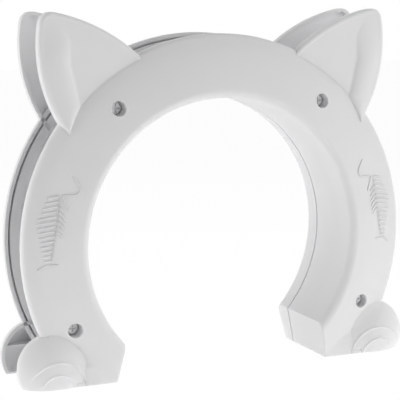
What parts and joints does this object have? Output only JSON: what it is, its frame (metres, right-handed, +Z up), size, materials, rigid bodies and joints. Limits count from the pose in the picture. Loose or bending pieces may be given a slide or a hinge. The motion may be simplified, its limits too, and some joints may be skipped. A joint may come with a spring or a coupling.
{
  "type": "interior cat pass",
  "caption": "Arched cat pass for the foot of a door: two clamped moulded halves with cat ears and paws, open passage, no flap.",
  "frame": {"origin": "on the floor, midway between the feet and midway between the two halves", "axes": "+X across the door to the right of someone facing the front half, +Y through the door towards the rear half, +Z up"},
  "size_m": [0.2822, 0.071, 0.2402],
  "materials": {
    "white_plastic": "satin moulded",
    "zinc_steel": "zinc plated"
  },
  "bodies": {
    "front_half": {"front_frame": "white_plastic", "screw_upper_left": "zinc_steel", "screw_upper_right": "zinc_steel", "screw_lower_left": "zinc_steel", "screw_lower_right": "zinc_steel"},
    "rear_half": {"rear_frame": "white_plastic", "nut_upper_left": "zinc_steel", "nut_upper_right": "zinc_steel", "nut_lower_left": "zinc_steel", "nut_lower_right": "zinc_steel"}
  },
  "joints": [
    {"name": "rear_slide", "type": "slide", "parent": "front_half", "child": "rear_half", "axis": [0, 1, 0], "range_m": [-0.0015, 0.01]}
  ]
}
